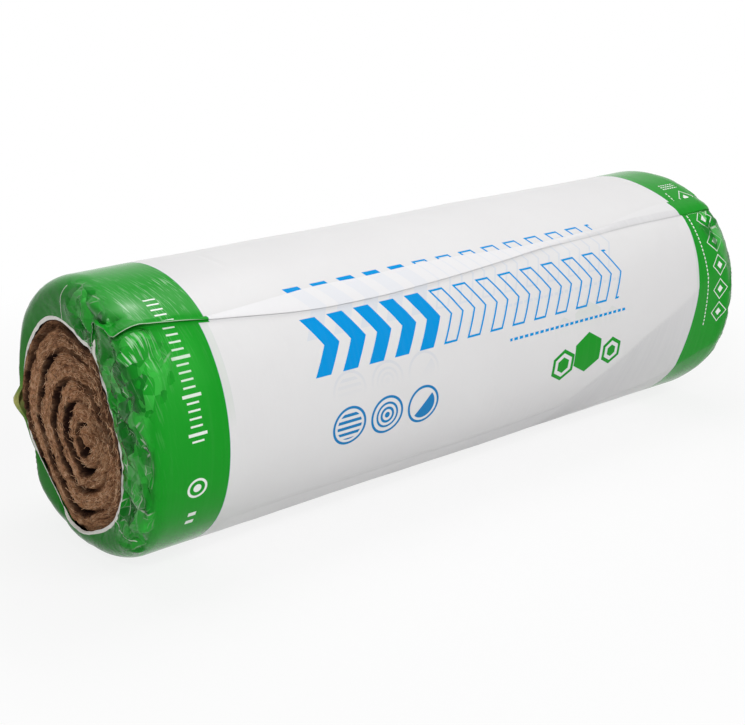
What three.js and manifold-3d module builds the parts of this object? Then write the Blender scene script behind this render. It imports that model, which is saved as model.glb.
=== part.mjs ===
import * as THREE from 'three';
import { mergeVertices } from 'three/addons/utils/BufferGeometryUtils.js';
import Module from 'manifold-3d';

// Roll of compressed glass wool in a printed polyethylene wrapper, lying on its side.
// Lengths are in millimetres and angles in degrees.
// X runs along the roll's axis, the wrapper's lap faces -Y, and Z is up.
// An angle round the roll runs from +Y (0) over the top (90) to -Y (180) and the floor (270).

// Roll
const length = 1200;              // over the wrapper's gathered ends
const diameter = 400;             // over the wrapper
const shoulderLength = 60;        // the rounded shoulder where it is softest, along the axis
const shoulderDrop = 40;          // and towards the axis
const tightLength = 20;           // the same two where the film is drawn tightest
const tightDrop = 15;
const tightAngle = 165;
const tightSpread = 130;          // degrees either side over which the shoulder grows soft
const narrowestFace = 3;          // of the end face, between the shoulder and the opening
const endSlope = 0.12;            // how far each end face sinks towards the opening, as a share of its width

// Wrapper
const filmWall = 1.2;             // one ply, with the air caught under it
const filmClearance = 0.3;        // between the wool and the film
const openingWidth = 241;         // the oval opening that the gathered film leaves at each end
const openingHeight = 294;
const openingShiftY = 35;         // the opening's centre from the axis
const openingShiftZ = -15;
const gatherCount = 27;           // pleats round each gathered end
const gatherDepth = 4.5;          // height of the deepest gather
const gatherEvenness = 0.3;       // the shallowest gather, as a share of the deepest
const gatherFacing = 165;         // angle of the deepest gathers, where the film has most slack
const gatherStart = 268.333;      // angle of the foot of one pleat

// Lap of the wrapper, with the fold that its slack makes along the roll
const freeEdgeAngle = 129.3;      // the outer ply's free edge
const narrowestFold = 3;          // degrees between the free edge and the fold's nose
const foldPath = [                // the fold's nose: place along the roll, from -1 to 1, and angle
  [-1, 129.8], [-0.92, 130.2], [-0.82, 133.6], [-0.56, 138.1], [-0.33, 139.2], [-0.04, 137.5],
  [0.14, 135.6], [0.3, 134], [0.68, 132.7], [1, 132.4]
];
const foldHeight = 6;             // the fold's crest over the wool
const foldRunOut = 0.6;           // share of the way from body to opening where fold and slack die out
const foldOverhang = 1.7;         // degrees by which the nose hangs over the ply below it
const lapSpread = 24;             // degrees over which the inner ply fades out below the lap
const slackRise = 3;              // how far the slack film stands off the wool round the lap
const slackSpread = 36;           // degrees either side of the lap

// Coiled mat
const turns = 6;                  // turns of the mat that show in the opening
const turnGrowth = 1.15;          // over 1, the outer turns are thicker than the inner ones
const coilShiftY = -23;           // the coil's centre from the axis
const coilShiftZ = -16;
const grooveWidth = 5;            // the dark gap between two turns, at the face
const grooveDepth = 16;
const matSink = 12;               // how far the mat's face lies behind the tightest shoulder
const faceBulge = 4;              // the mat's face stands out this far at the coil's centre

// Facets
const facetsPerGather = 4;
const shoulderSteps = 5;
const faceSteps = 3;
const bodySteps = 7;
const woolFacets = 54;
const facetsPerTurn = 20;

const radians = THREE.MathUtils.degToRad;
const { clamp, lerp, smoothstep } = THREE.MathUtils;
const endSteps = shoulderSteps + faceSteps;
const woolRadius = diameter / 2 - filmWall - filmClearance;
const woolHalf = length / 2 - filmWall - filmClearance - gatherDepth;
const floorAngle = 270;

// Polar radius of the end opening, from the roll's axis.
function openingRadius(angle) {
  const a = openingWidth / 2;
  const b = openingHeight / 2;
  const dy = Math.cos(radians(angle));
  const dz = Math.sin(radians(angle));
  const square = (dy / a) ** 2 + (dz / b) ** 2;
  const half = (dy * openingShiftY) / a ** 2 + (dz * openingShiftZ) / b ** 2;
  const rest = (openingShiftY / a) ** 2 + (openingShiftZ / b) ** 2 - 1;
  return (half + Math.sqrt(half ** 2 - square * rest)) / square;
}

// The end's shape at an angle: how long and how deep its shoulder is, how wide the face between
// the shoulder and the opening, and how far that face sinks.
function endShape(angle) {
  const off = Math.abs(((((angle - tightAngle) % 360) + 540) % 360) - 180);
  const tight = smoothstep(tightSpread - off, 0, tightSpread);
  const room = woolRadius - openingRadius(angle) - narrowestFace;
  const drop = Math.min(lerp(shoulderDrop, tightDrop, tight), room);
  const reach = narrowestFace + room - drop;
  return { shoulder: lerp(shoulderLength, tightLength, tight), drop, reach, dish: endSlope * reach };
}

// Stations run from the opening at -X, over the shoulder, along the body and down the other end.
function rollStations(bodyParts) {
  const stations = [];
  for (let step = endSteps; step >= 0; step -= 1) stations.push({ side: -1, step, along: -1 });
  for (let k = 1; k < bodyParts; k += 1) {
    stations.push({ side: 0, step: 0, along: -1 + (2 * k) / bodyParts });
  }
  for (let step = 0; step <= endSteps; step += 1) stations.push({ side: 1, step, along: 1 });
  return stations;
}

// A point of the roll at a station and angle, at a height over the wool's surface.
function rollPoint(station, angle, height) {
  const { shoulder, drop, reach, dish } = endShape(angle);
  let axial = (woolHalf - shoulder) * Math.abs(station.along);
  let radius = woolRadius;
  let normal = new THREE.Vector2(0, 1);
  if (station.step > shoulderSteps) {
    const inward = (station.step - shoulderSteps) / faceSteps;
    axial = woolHalf - dish * inward ** 2;
    radius = woolRadius - drop - reach * inward;
    normal = new THREE.Vector2(reach, -2 * dish * inward).normalize();
  } else if (station.step > 0) {
    const turn = radians((90 * station.step) / shoulderSteps);
    axial = woolHalf - shoulder * (1 - Math.sin(turn));
    radius = woolRadius - drop * (1 - Math.cos(turn));
    normal = new THREE.Vector2(drop * Math.sin(turn), shoulder * Math.cos(turn)).normalize();
  }
  axial += height * normal.x;
  radius += height * normal.y;
  const direction = station.side === 0 ? Math.sign(station.along) : station.side;
  return new THREE.Vector3(
    direction * axial,
    radius * Math.cos(radians(angle)),
    radius * Math.sin(radians(angle))
  );
}

// Closed rings of points, joined one to the next. With looped set, the last joins the first;
// otherwise a fan closes each end round its centre point.
function loft(rings, caps) {
  const count = rings[0].length;
  const points = rings.flat();
  const index = [];
  const bands = caps ? rings.length - 1 : rings.length;
  for (let k = 0; k < bands; k += 1) {
    const here = k * count;
    const next = ((k + 1) % rings.length) * count;
    for (let i = 0; i < count; i += 1) {
      const j = (i + 1) % count;
      index.push(here + i, next + j, next + i, here + i, here + j, next + j);
    }
  }
  if (caps) {
    const last = (rings.length - 1) * count;
    points.push(caps[0], caps[1]);
    for (let i = 0; i < count; i += 1) {
      const j = (i + 1) % count;
      index.push(points.length - 2, j, i, points.length - 1, last + i, last + j);
    }
  }
  const geometry = new THREE.BufferGeometry().setFromPoints(points);
  geometry.setIndex(index);
  return geometry;
}

// The fold's nose along the roll, as an angle.
const foldCurve = new THREE.CatmullRomCurve3(
  foldPath.map(([along, angle]) => new THREE.Vector3(along, angle, 0))
);
const foldSamples = foldCurve.getPoints(120);
function foldAngle(along) {
  const after = Math.max(1, foldSamples.findIndex((p) => p.x >= along));
  const [a, b] = [foldSamples[after - 1], foldSamples[after]];
  return lerp(a.y, b.y, clamp((along - a.x) / (b.x - a.x), 0, 1));
}
const foldHome = foldPath.reduce((sum, [, angle]) => sum + angle, 0) / foldPath.length;
const lapAbove = 13;              // degrees of the section, above and below the fold's mean angle,
const lapBelow = 3;               // that hold the lap's own points
const lapPull = 60;               // degrees over which the rest of the section follows the fold

// How much of the fold and of the slack round it is left at a station.
function foldShare(station) {
  return 1 - smoothstep(station.step / endSteps, 0, foldRunOut);
}

// The wrapper's section at a station: for each point, the angle of the film's inner face, and
// the angle and height of its outer face.
function filmSection(station) {
  const nose = foldAngle(station.along);
  const edge = Math.min(freeEdgeAngle, nose - narrowestFold);
  const spread = foldShare(station);
  const shift = nose - foldHome;
  const twoPly = 2 * filmWall;
  const lap = [
    { home: -0.9 * lapAbove, at: edge - nose, height: filmWall },
    { home: -0.8 * lapAbove, at: edge - nose + 0.2, height: twoPly },
    { home: -0.5 * lapAbove, at: (edge - nose) / 2, height: (twoPly + foldHeight) / 2 },
    { home: -0.25 * lapAbove, at: -0.25 * foldOverhang, height: foldHeight },
    { home: 0, at: 0, height: foldHeight - filmWall },
    { home: 0.3 * lapBelow, at: -foldOverhang, height: twoPly },
    { home: 0.6 * lapBelow, at: 0.6 * lapBelow, height: twoPly }
  ];
  const section = [];
  const count = facetsPerGather * gatherCount;
  for (let i = 0; i < count; i += 1) {
    const angle = floorAngle - 360 + ((i + 0.5) * 360) / count;
    const off = angle - foldHome;
    if (off > lapBelow && off - 360 / count <= lapBelow) {
      for (const point of lap) {
        section.push({
          inner: foldHome + point.home,
          outer: lerp(foldHome + point.home, nose + point.at, spread),
          height: lerp(filmWall, point.height, spread)
        });
      }
    }
    if (off > -lapAbove && off <= lapBelow) continue;
    const pull = smoothstep(lapPull - Math.abs(off), 0, lapPull);
    const under = off > 0 ? clamp(1 - (off - lapBelow) / lapSpread, 0, 1) : 0;
    section.push({
      inner: angle,
      outer: angle + shift * pull * spread,
      height: filmWall * (1 + under * spread)
    });
  }
  return section;
}

// How far the film stands off the wool: round the lap by its slack, and at the ends by its gathers.
function filmStandOff(station, angle) {
  const offLap = Math.abs(angle - foldHome);
  const inward = station.step / endSteps;
  const slack = slackRise * smoothstep(slackSpread - offLap, 0, slackSpread) * foldShare(station);
  const wave = 0.5 - 0.5 * Math.cos(radians(gatherCount * (angle - gatherStart)));
  const facing = 0.5 + 0.5 * Math.cos(radians(angle - gatherFacing));
  const depth = gatherDepth * lerp(gatherEvenness, 1, facing);
  return slack + depth * wave * smoothstep(inward, 0.15, shoulderSteps / endSteps);
}

function buildWrapper() {
  const outside = rollStations(bodySteps).map((station) =>
    filmSection(station).map((point) => rollPoint(
      station,
      point.outer,
      filmClearance + filmStandOff(station, point.inner) + point.height
    ))
  );
  const inside = rollStations(1).map((station) =>
    filmSection(station).map((point) => rollPoint(
      station,
      point.inner,
      filmClearance + filmStandOff(station, point.inner)
    ))
  );
  return loft([...outside, ...inside.reverse()]);
}

// The gap between two turns of the mat, as a spiral ribbon on the end face.
// Each turn keeps the opening's oval form and closes in on the coil's centre.
function turnGap() {
  const centre = new THREE.Vector2(coilShiftY, coilShiftZ);
  const steps = Math.round(turns * facetsPerTurn);
  const at = (step, offset) => {
    const angle = (360 * step) / facetsPerTurn;
    const share = (step / steps) ** turnGrowth;
    const rim = new THREE.Vector2(Math.cos(radians(angle)), Math.sin(radians(angle)));
    rim.multiplyScalar(openingRadius(angle)).sub(centre);
    const distance = rim.length() * share;
    const taper = clamp((steps - step) / facetsPerTurn, 0, 1);
    return rim.setLength(distance + offset * grooveWidth * taper).add(centre);
  };
  const first = Math.round(facetsPerTurn * 0.6);
  const outline = [];
  for (let step = first; step <= steps; step += 1) outline.push(at(step, 0.5));
  for (let step = steps - 1; step >= first; step -= 1) outline.push(at(step, -0.5));
  return new THREE.Shape(outline);
}

const wasm = await Module();
wasm.setup();

function toSolid(geometry) {
  const bare = geometry.clone();
  bare.deleteAttribute('normal');
  bare.deleteAttribute('uv');
  const merged = mergeVertices(bare.index ? bare.toNonIndexed() : bare);
  return new wasm.Manifold(new wasm.Mesh({
    numProp: 3,
    vertProperties: new Float32Array(merged.attributes.position.array),
    triVerts: new Uint32Array(merged.index.array)
  }));
}

function toGeometry(solid) {
  const mesh = solid.getMesh();
  const geometry = new THREE.BufferGeometry();
  geometry.setAttribute('position', new THREE.BufferAttribute(mesh.vertProperties, 3));
  geometry.setIndex(new THREE.BufferAttribute(mesh.triVerts, 1));
  return geometry;
}

function buildWool() {
  const rings = rollStations(1).map((station) => {
    const ring = [];
    for (let i = 0; i < woolFacets; i += 1) {
      const angle = floorAngle + ((i + 0.25) * 360) / woolFacets;
      ring.push(rollPoint(station, angle, 0));
    }
    return ring;
  });
  const face = woolHalf - matSink;
  const caps = [-1, 1].map((side) => new THREE.Vector3(side * (face + faceBulge), coilShiftY, coilShiftZ));
  let wool = toSolid(loft(rings, caps));
  const cutter = new THREE.ExtrudeGeometry(turnGap(), { depth: matSink + grooveDepth, bevelEnabled: false });
  // The shape's own x and y become the roll's Y and Z.
  cutter.applyMatrix4(new THREE.Matrix4().makeBasis(
    new THREE.Vector3(0, 1, 0), new THREE.Vector3(0, 0, 1), new THREE.Vector3(1, 0, 0)
  ));
  for (const start of [-woolHalf, face - grooveDepth]) {
    wool = wool.subtract(toSolid(cutter.clone().translate(start, 0, 0)));
  }
  return toGeometry(wool);
}

function subPart(name, geometry, color, roughness) {
  geometry.computeVertexNormals();
  const material = new THREE.MeshStandardMaterial({ color, roughness, metalness: 0 });
  const mesh = new THREE.Mesh(geometry, material);
  mesh.name = name;
  return mesh;
}

const roll = new THREE.Group();
roll.name = 'insulation_roll';
roll.add(subPart('wool_mat', buildWool(), 0x6e5041, 1));
roll.add(subPart('film_wrap', buildWrapper(), 0xe6e5e6, 0.35));
// Stand the roll on the floor, over the middle of its own outline.
const box = new THREE.Box3().setFromObject(roll);
roll.position.set(-(box.min.x + box.max.x) / 2, -(box.min.y + box.max.y) / 2, -box.min.z);
roll.updateMatrixWorld(true);

export default roll;
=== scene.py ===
"""Insulation roll: a coiled mat of brown glass wool in a printed film wrapper with gathered ends.

Makes the wrapper, the mat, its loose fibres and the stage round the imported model.
X runs along the roll, the wrapper's lap faces -Y, and Z is up. An angle round the roll, in degrees,
runs from +Y (0) over the top (90) to -Y (180) and the floor (270).
"""

import math

import bpy
import numpy as np
from bpy.props import FloatProperty, FloatVectorProperty, IntProperty, PointerProperty
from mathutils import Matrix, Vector, noise
from mathutils.bvhtree import BVHTree


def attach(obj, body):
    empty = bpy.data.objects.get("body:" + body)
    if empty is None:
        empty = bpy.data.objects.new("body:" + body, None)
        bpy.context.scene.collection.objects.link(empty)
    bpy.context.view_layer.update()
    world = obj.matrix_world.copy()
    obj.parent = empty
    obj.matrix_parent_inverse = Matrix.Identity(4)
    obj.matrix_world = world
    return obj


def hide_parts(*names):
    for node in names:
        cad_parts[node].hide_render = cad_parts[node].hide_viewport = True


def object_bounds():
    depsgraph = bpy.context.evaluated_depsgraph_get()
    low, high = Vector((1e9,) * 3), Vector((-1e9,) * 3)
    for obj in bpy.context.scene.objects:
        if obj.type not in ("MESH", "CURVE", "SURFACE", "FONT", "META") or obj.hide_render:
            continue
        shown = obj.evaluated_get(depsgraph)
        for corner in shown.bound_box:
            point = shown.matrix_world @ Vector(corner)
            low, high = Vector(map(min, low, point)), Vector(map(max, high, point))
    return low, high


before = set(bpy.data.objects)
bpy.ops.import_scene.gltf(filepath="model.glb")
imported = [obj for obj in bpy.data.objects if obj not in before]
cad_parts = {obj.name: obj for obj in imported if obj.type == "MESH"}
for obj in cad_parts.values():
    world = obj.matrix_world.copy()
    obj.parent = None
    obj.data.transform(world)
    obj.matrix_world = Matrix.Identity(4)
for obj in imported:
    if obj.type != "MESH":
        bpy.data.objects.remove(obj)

bl_info = {
    "name": "Insulation roll",
    "version": (1, 0, 0),
    "blender": (4, 5, 0),
    "location": "View3D > Sidebar > Roll",
    "description": "Film wrapper, coiled wool mat, loose fibres and stage for a roll of insulation",
    "category": "Object",
}

CAD_LOW, CAD_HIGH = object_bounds()
BODY = "root"
RADIUS = (CAD_HIGH.z - CAD_LOW.z) / 2
HALF_LENGTH = (CAD_HIGH.x - CAD_LOW.x) / 2
AXIS_Z = CAD_LOW.z + RADIUS
MM = 0.001


# ---------------------------------------------------------------- shape of the roll

# The near end, by angle: the opening's edge from the roll's axis, the length and the drop of the rounded
# shoulder, and how far the film is dished at the opening, all in millimetres.
NEAR_END = {
    "opening": (
        (0, 157), (8, 152.5), (20, 148), (45, 143.5), (60, 142.5), (75, 136), (90, 124), (104, 115),
        (111, 116), (124, 101), (135, 92), (150, 86), (162, 84.5), (175, 89), (189, 95), (204, 108),
        (218, 123), (232, 138), (246, 147), (259, 154), (272, 163), (284, 165), (292, 156), (305, 148),
        (317, 147.5), (328, 150.5), (340, 155.5), (350, 161)),
    "length": (
        (0, 58), (30, 44), (60, 35), (90, 34), (112, 27), (135, 22), (185, 20), (210, 25), (235, 35),
        (265, 48), (285, 44), (302, 34), (314, 28), (322, 44), (330, 56), (345, 58)),
    "drop": (
        (0, 38), (30, 33), (60, 28), (90, 26), (112, 21), (135, 16), (185, 15), (210, 19), (235, 27),
        (265, 36), (285, 37), (302, 29), (314, 24), (322, 36), (330, 46), (345, 42)),
    "dish": ((0, 3), (60, 4), (100, 7), (135, 11), (190, 12), (230, 7), (270, 4)),
}
FAR_END = {
    "opening": (
        (0, 152), (60, 142), (110, 126), (150, 112), (185, 116), (240, 142), (290, 154), (330, 152)),
    "length": ((0, 58), (90, 45), (130, 38), (165, 40), (210, 42), (260, 48), (310, 58)),
    "drop": ((0, 38), (90, 29), (130, 26), (165, 28), (210, 27), (260, 32), (310, 40)),
    "dish": ((0, 4), (90, 6), (165, 10), (270, 5)),
}
# How straight the near end's shoulder is, from 0 (round) to 1 (a cone).
STRAIGHTNESS = ((0, 0.8), (20, 0.4), (45, 0), (285, 0), (308, 0), (318, 0.4), (328, 0.95), (345, 1))
COIL_CENTRE = (-24 * MM, -15 * MM)
FILM_INSET = 1.4 * MM      # of the film's plain form from the model's outside
ROLL_END = HALF_LENGTH - 5 * MM     # the film's furthest place along the roll
BODY_END = HALF_LENGTH - 46 * MM    # where the film's body passes into its ends
END_REACH = 115 * MM       # film from the body to its cut edge
PLY = 0.35 * MM            # thickness with the air between plies
# Paths along the roll, from -1 at its near end to 1 at its far end: the free edge's angle and the fold's.
FREE_EDGE = (
    (-1, 120), (-0.974, 122), (-0.944, 124.3), (-0.915, 127.6), (-0.874, 129.8), (-0.79, 130.8),
    (-0.7, 130.3), (-0.61, 129.3), (-0.46, 127.8), (-0.33, 128.4), (-0.12, 127.8), (0.23, 130.3),
    (0.5, 129.7), (0.6, 126.5), (0.8, 123.3), (1, 123))
FOLD_PATH = (
    (-1.1, 114), (-1.03, 115), (-0.99, 117.5), (-0.976, 121), (-0.963, 127), (-0.9525, 132.6),
    (-0.938, 132.1), (-0.91, 131.6), (-0.874, 131.7), (-0.837, 131.9), (-0.80, 132.4), (-0.772, 133.1),
    (-0.665, 135.6), (-0.53, 138.1), (-0.44, 138.9), (-0.31, 139.2), (-0.18, 138.6), (-0.04, 137.5),
    (0.12, 135.8), (0.28, 134), (0.44, 133.6), (0.62, 132.7), (0.92, 132.7), (1.1, 131.5))
LAP_START = 129.5          # the free edge on the middle of the roll, from which the winding is measured
# How wide the fold's front is from its crest to its nose, in degrees.
FOLD_FRONT = (
    (-1, 0.9), (-0.8, 0.6), (0.1, 0.6), (0.27, 1.6), (0.4, 3.0), (0.55, 3.6), (0.9, 3.2), (1.1, 2.5))
NARROWEST_FOLD = 1.8
# The crease low on the lapped flank, and how wide the flat facet below it is, in degrees.
FLANK_CREASE = (
    (-1.1, 221), (-0.7, 219), (-0.04, 219), (0.3, 216), (0.38, 207), (0.49, 196), (0.58, 187.5),
    (0.72, 176.7), (0.8, 170.6), (0.9, 164), (1.1, 157))
FLANK_WIDTH = ((-1, 22), (0.1, 22), (0.4, 30), (0.7, 42), (1, 40))
# Width of the unprinted edge that shows at the near opening, by angle, and at the far one, in millimetres.
MARGIN = (
    (0, -2), (6, 0.5), (15, 2.5), (45, 5), (75, 5.5), (87, 5), (104, 6), (124, 5.5), (140, 4.8),
    (165, 4.3), (189, 4.8), (205, 5.5), (218, 6), (230, 6.5), (245, 5.5), (260, 4.5), (275, 3.5),
    (295, 1.5), (330, 1.5), (344, 0), (350, -2))
FAR_MARGIN = 6
INNER_END = 177            # where the inner ply ends, under the outer one
WINDING_END = INNER_END + 360
# Other places round the roll, as angles.
CRUSHED_SIDE = 185         # the middle of the crushed film
TIGHT_SIDE = 172           # where the shoulder is tightest
LAP_SIDE = 134             # the middle of the slack round the lap
HOOPS = 113                # the hoops over the near shoulder
TORN_TIP = 115             # of the unprinted edge at the near opening
LIP = -6                   # on the far side of the near opening
SWOLLEN_SIDE = -19         # where the mat's turns stand out most
UNDERSIDE = -95            # where the weight closes the gap between the last turns


def smooth(value, low, high):
    """0 below low, 1 above high and an even curve between."""
    t = np.clip((value - low) / (high - low), 0, 1)
    return t * t * (3 - 2 * t)


def window(value, low, full, fading, high):
    """0 up to low, 1 from full to fading and 0 from high on, with even curves between."""
    return smooth(value, low, full) * (1 - smooth(value, fading, high))


def mix(a, b, share):
    return a + (b - a) * share


def bump_at(value, centre, spread):
    """1 at the centre, falling to 0 at spread on either side."""
    return 1 - smooth(np.abs(value - centre), 0, spread)


def turned(angle, centre):
    """The angle from centre, between -180 and 180."""
    return (angle - centre + 180) % 360 - 180


def round_table(table, angle):
    """A table's value at each angle. The table goes once round the roll."""
    last = table[-1]
    after = [(at + 360, value) for at, value in table[:2]]
    return curve_through(((last[0] - 360, last[1]), *table, *after), np.asarray(angle, float) % 360)


def end_value(key, angle, side):
    """A value of the end's shape at each angle, in metres."""
    return np.where(side < 0, round_table(NEAR_END[key], angle), round_table(FAR_END[key], angle)) * MM


def tightness(angle):
    """1 where the shoulder is tightest, 0 where it is roundest."""
    return (0.5 + 0.5 * np.cos(np.radians(angle - TIGHT_SIDE))) ** 1.4


def curve_through(path, at):
    """A smooth curve through (place, value) points that doesn't overshoot them, read at some places."""
    place, value = (np.array(v, float) for v in zip(*path))
    rise = np.diff(value) / np.diff(place)
    slope = np.zeros_like(value)
    both = rise[1:] * rise[:-1]
    slope[1:-1] = np.where(both > 0, 2 * both / np.where(both > 0, rise[1:] + rise[:-1], 1), 0)
    slope[0], slope[-1] = rise[0], rise[-1]
    k = np.clip(np.searchsorted(place, at) - 1, 0, len(place) - 2)
    width = place[k + 1] - place[k]
    t = np.clip((at - place[k]) / width, 0, 1)
    return (
        value[k] * (1 + 2 * t) * (1 - t) ** 2
        + slope[k] * width * t * (1 - t) ** 2
        + value[k + 1] * t * t * (3 - 2 * t)
        + slope[k + 1] * width * t * t * (t - 1)
    )


def facets(off, inward, pitch, step, seed):
    """Height of film crushed into flat facets, from about -1 to 1, at angles and shares of the way in."""
    rng = np.random.default_rng(seed)
    u, v = np.meshgrid(np.arange(-140, 130, pitch), np.arange(-0.6, 1.3, step))
    row, column = np.indices(u.shape)
    u = u + (row % 2) * pitch / 2 + rng.uniform(-0.34, 0.34, u.shape) * pitch
    v = v + rng.uniform(-0.30, 0.30, u.shape) * step
    height = 0.55 * (-1.0) ** (column + row // 2) * rng.uniform(0.3, 1, u.shape)
    height = height + 0.45 * rng.uniform(-1, 1, u.shape)
    index = np.arange(u.size).reshape(u.shape)
    a, b, c, d = (part.ravel() for part in (index[:-1, :-1], index[:-1, 1:], index[1:, 1:], index[1:, :-1]))
    other = rng.random(len(a)) < 0.5
    triangles = np.concatenate([
        np.stack([a, b, np.where(other, c, d)], -1), np.stack([np.where(other, a, b), c, d], -1)])
    corners = np.stack([u / 20, v * 5, height], -1).reshape(-1, 3)
    tree = BVHTree.FromPolygons(corners.tolist(), triangles.tolist())
    down = Vector((0, 0, -1))
    hits = [tree.ray_cast(Vector((x / 20, y * 5, 5)), down)[0] for x, y in zip(off.ravel(), inward.ravel())]
    return np.array([hit.z if hit else 0 for hit in hits]).reshape(off.shape)


def perlin(points, size, seed):
    """Smooth noise from -1 to 1 at each point, with features of about that size."""
    flat = np.asarray(points, float).reshape(-1, 3) / size + 17.3 * seed
    values = [noise.noise(Vector(p)) for p in flat]
    return np.array(values).reshape(np.shape(points)[:-1])


def mesh_object(name, rows, material, closed_across=False, uvs=None, attributes=None):
    """A smooth grid of points, as a mesh. rows has the shape (rows, columns, 3)."""
    count, across = rows.shape[:2]
    index = np.arange(count * across).reshape(count, across)
    if closed_across:
        index = np.concatenate([index, index[:, :1]], axis=1)
    quads = np.stack([index[:-1, :-1], index[:-1, 1:], index[1:, 1:], index[1:, :-1]], -1)
    mesh = bpy.data.meshes.new(name)
    mesh.from_pydata(rows.reshape(-1, 3).tolist(), [], quads.reshape(-1, 4).tolist())
    corners = np.zeros(len(mesh.loops), np.int32)
    mesh.loops.foreach_get("vertex_index", corners)
    for uv_name, uv in (uvs or {}).items():
        layer = mesh.uv_layers.new(name=uv_name)
        layer.data.foreach_set("uv", uv.reshape(-1, 2)[corners].astype(np.float32).ravel())
    for key, values in (attributes or {}).items():
        layer = mesh.attributes.new(key, "FLOAT", "POINT")
        layer.data.foreach_set("value", values.astype(np.float32).ravel())
    mesh.polygons.foreach_set("use_smooth", [True] * len(mesh.polygons))
    mesh.materials.append(material)
    mesh.update()
    return add_object(name, mesh)


def add_object(name, data):
    made = bpy.data.objects.new(name, data)
    bpy.context.scene.collection.objects.link(made)
    return made


def finish_piece(piece, slot, *nodes):
    """The piece rides on the roll and stands for the nodes. Its slot is not used."""
    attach(piece, BODY)
    if nodes:
        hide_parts(*nodes)


# ---------------------------------------------------------------- kinds of setting


def colour_setting(name, description, default):
    return FloatVectorProperty(name=name, description=description, subtype="COLOR", default=default)


def length_setting(name, description, default):
    return FloatProperty(name=name, description=description, unit="LENGTH", default=default)


def factor_setting(name, description, default, highest=1):
    return FloatProperty(
        name=name, description=description, subtype="FACTOR", default=default, min=0, max=highest)


def power_setting(name, description, default):
    return FloatProperty(name=name, description=description, unit="POWER", default=default, min=0)


# ---------------------------------------------------------------- node trees


class Value:
    """A socket of a node tree, on which arithmetic adds Math nodes."""

    def __init__(self, tree, socket):
        self.tree, self.socket = tree, socket

    def math(self, operation, *others, clamp=False):
        inputs = dict(enumerate((self, *others)))
        made = node(self.tree, "ShaderNodeMath", inputs, operation=operation, use_clamp=clamp)
        return Value(self.tree, made.outputs[0])

    def __add__(self, other):
        return self.math("ADD", other)

    def __sub__(self, other):
        return self.math("SUBTRACT", other)

    def __mul__(self, other):
        return self.math("MULTIPLY", other)

    def __truediv__(self, other):
        return self.math("DIVIDE", other)

    def __abs__(self):
        return self.math("ABSOLUTE")

    def wrapped(self, low, high):
        return self.math("WRAP", high, low)

    def lowest(self, other):
        return self.math("MINIMUM", other)

    def highest(self, other):
        return self.math("MAXIMUM", other)

    def above(self, edge, blur=0.0005):
        """1 where this is over the edge, with a soft step."""
        return (self - edge).math("DIVIDE", blur).math("ADD", 0.5, clamp=True)

    def below(self, edge, blur=0.0005):
        return (self - edge).math("DIVIDE", -blur).math("ADD", 0.5, clamp=True)

    def between(self, low, high, blur=0.0005):
        return self.above(low, blur) * self.below(high, blur)

    def rising(self, low, gain):
        """0 up to low, and then rising to 1, gain times as fast as this."""
        return (self - low).math("MULTIPLY", gain, clamp=True)

    def falling(self, high, gain):
        """0 from high on, and below it rising to 1, gain times as fast as this falls."""
        return (self * -1.0 + high).math("MULTIPLY", gain, clamp=True)

    def bell(self, centre, spread):
        """1 at the centre and half at the spread on either side."""
        off = (self - centre) / spread
        return (off * off + 1.0).math("POWER", -1.0)


def any_of(*marks):
    """The highest of several values: where any of the marks is."""
    whole = marks[0]
    for mark in marks[1:]:
        whole = whole.highest(mark)
    return whole


def distance(across, round_way):
    return (across * across + round_way * round_way).math("SQRT")


def node(tree, kind, inputs=None, **settings):
    """A new node with its settings and inputs. An input's value is a Value, a socket or a constant."""
    made = tree.nodes.new(kind)
    for key, value in settings.items():
        setattr(made, key, value)
    for key, value in (inputs or {}).items():
        if isinstance(value, Value):
            value = value.socket
        if isinstance(value, bpy.types.NodeSocket):
            tree.links.new(value, made.inputs[key])
        else:
            made.inputs[key].default_value = value
    return made


def blend_colour(tree, share, first, second, mode="MIX"):
    """The colour socket of first mixed with second. The colours are sockets or tuples."""
    first, second = (
        one if isinstance(one, bpy.types.NodeSocket) else (*one, 1) for one in (first, second))
    made = node(tree, "ShaderNodeMix", {0: share, 6: first, 7: second}, data_type="RGBA", blend_type=mode)
    return made.outputs[2]


def vector_math(tree, operation, first, second):
    """The socket of a Vector Math node. The second value is a vector, or the factor of SCALE."""
    made = node(tree, "ShaderNodeVectorMath", {0: first, "Scale" if operation == "SCALE" else 1: second},
                operation=operation)
    return made.outputs["Value" if operation == "DOT_PRODUCT" else "Vector"]


def scaled_place(tree, place, scale):
    return node(tree, "ShaderNodeMapping", {"Vector": place, "Scale": scale}).outputs[0]


def noise_value(tree, place, scale, detail, roughness=0.5, distortion=0.0):
    """Noise between 0 and 1 at a place, with that many features to the metre."""
    made = node(tree, "ShaderNodeTexNoise", {
        "Vector": place, "Scale": scale, "Detail": detail, "Roughness": roughness,
        "Distortion": distortion})
    return Value(tree, made.outputs["Fac"])


def attribute_value(tree, name):
    return Value(tree, node(tree, "ShaderNodeAttribute", attribute_name=name).outputs["Fac"])


def empty_tree(owner):
    """The node tree of a material or a world, emptied."""
    owner.use_nodes = True
    owner.node_tree.nodes.clear()
    return owner.node_tree


def new_material(name):
    material = bpy.data.materials.new(name)
    tree = empty_tree(material)
    shader = tree.nodes.new("ShaderNodeBsdfPrincipled")
    node(tree, "ShaderNodeOutputMaterial", {"Surface": shader.outputs[0]})
    return material, tree, shader


# ---------------------------------------------------------------- print on the film

PRINT_REPEAT = 1205 * MM   # along the winding, so that the inner ply's print shows 51 mm higher
BAND_NEAR = -482.5 * MM    # inner edges of the green bands
BAND_FAR = 457 * MM


def wound(angle):
    """Sheet coordinate of an angle on the main ply, from the free edge."""
    return RADIUS * math.radians(angle - LAP_START)


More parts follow.
